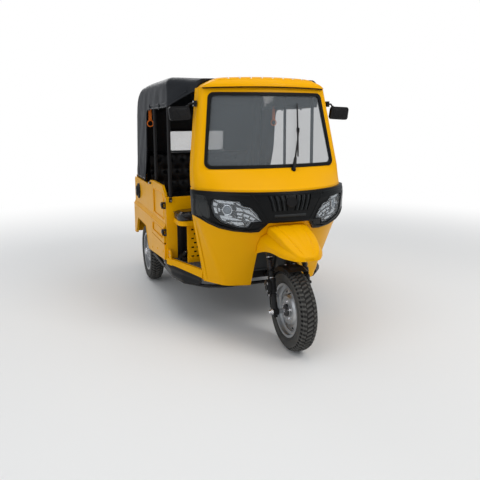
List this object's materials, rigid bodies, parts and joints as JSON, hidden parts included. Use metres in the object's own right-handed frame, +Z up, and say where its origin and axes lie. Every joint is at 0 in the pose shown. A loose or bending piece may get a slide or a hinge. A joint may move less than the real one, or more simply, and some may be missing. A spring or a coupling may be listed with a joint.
{
  "type": "auto rickshaw",
  "caption": "Auto rickshaw with a rounded sheet-metal cab, open sides, vinyl canopy, steered front wheel, rear bench and hinged side doors.",
  "frame": {"origin": "on the ground, halfway along the vehicle's length and on its centre line", "axes": "+X to the vehicle's left, +Y to its rear (it faces -Y), +Z up"},
  "size_m": [1.3748, 2.86, 1.836],
  "materials": {
    "yellow_paint": "semi-gloss",
    "black_paint": "satin",
    "black_plastic": "matte",
    "black_vinyl": "soft sheen",
    "seat_vinyl": "soft sheen",
    "silver_steel": "satin",
    "chrome_trim": "polished",
    "cast_engine": "rough",
    "tyre_rubber": "matte",
    "seal_rubber": "matte",
    "floor_mat": "matte",
    "screen_glass": "clear",
    "clear_window": "clear",
    "lamp_lens": "clear",
    "red_lens": "gloss",
    "mirror_face": "polished",
    "orange_strap": "woven"
  },
  "bodies": {
    "body": {"nose_panel": "yellow_paint", "windshield_frame": "yellow_paint", "front_fender": "yellow_paint", "roof_visor": "yellow_paint", "partition": "yellow_paint", "engine_cover": "yellow_paint", "seat_pan": "yellow_paint", "rear_side_panels": "yellow_paint", "rear_panel": "yellow_paint", "floor_sills": "yellow_paint", "chassis_frame": "black_paint", "canopy_frame": "black_paint", "rear_bumper": "black_paint", "rear_axle": "black_paint", "rear_suspension": "black_paint", "parking_brake": "black_paint", "seat_box": "black_paint", "front_mask": "black_plastic", "mirrors": "black_plastic", "wiper": "black_plastic", "fuel_cap": "black_plastic", "dashboard": "black_plastic", "canopy": "black_vinyl", "driver_seat": "seat_vinyl", "bench_cushion": "seat_vinyl", "bench_back": "seat_vinyl", "door_fittings": "chrome_trim", "headlamp_bowls": "chrome_trim", "engine": "cast_engine", "windshield_seal": "seal_rubber", "front_floor": "floor_mat", "rear_tub": "floor_mat", "windshield": "screen_glass", "rear_window": "clear_window", "headlamp_lenses": "lamp_lens", "tail_lamps": "red_lens", "mirror_glass": "mirror_face", "grab_straps": "orange_strap"},
    "steering": {"fork": "black_paint", "fork_springs": "silver_steel", "handlebar": "black_paint", "inner_mudguard": "black_paint", "front_axle": "chrome_trim"},
    "front_wheel": {"front_tyre": "tyre_rubber", "front_rim": "silver_steel"},
    "rear_wheel_left": {"rear_tyre_left": "tyre_rubber", "rear_rim_left": "silver_steel"},
    "rear_wheel_right": {"rear_tyre_right": "tyre_rubber", "rear_rim_right": "silver_steel"},
    "door_left": {"door_left": "yellow_paint"},
    "door_right": {"door_right": "yellow_paint"}
  },
  "joints": [
    {"name": "steering", "type": "hinge", "parent": "body", "child": "steering", "pos_m": [0, -1.1175, 0.2725], "axis": [0, 0.309, 0.9511], "range_deg": [-35, 35]},
    {"name": "front_wheel_spin", "type": "hinge", "parent": "steering", "child": "front_wheel", "pos_m": [0, -1.1575, 0.2725], "axis": [1, 0, 0], "continuous": true},
    {"name": "rear_wheel_left_spin", "type": "hinge", "parent": "body", "child": "rear_wheel_left", "pos_m": [0.56, 0.8425, 0.2725], "axis": [1, 0, 0], "continuous": true},
    {"name": "rear_wheel_right_spin", "type": "hinge", "parent": "body", "child": "rear_wheel_right", "pos_m": [-0.56, 0.8425, 0.2725], "axis": [1, 0, 0], "continuous": true},
    {"name": "door_left_swing", "type": "hinge", "parent": "body", "child": "door_left", "pos_m": [0.663, -0.1955, 0.75], "axis": [0, 0, -1], "range_deg": [0, 85]},
    {"name": "door_right_swing", "type": "hinge", "parent": "body", "child": "door_right", "pos_m": [-0.663, -0.1955, 0.75], "axis": [0, 0, 1], "range_deg": [0, 85]}
  ]
}
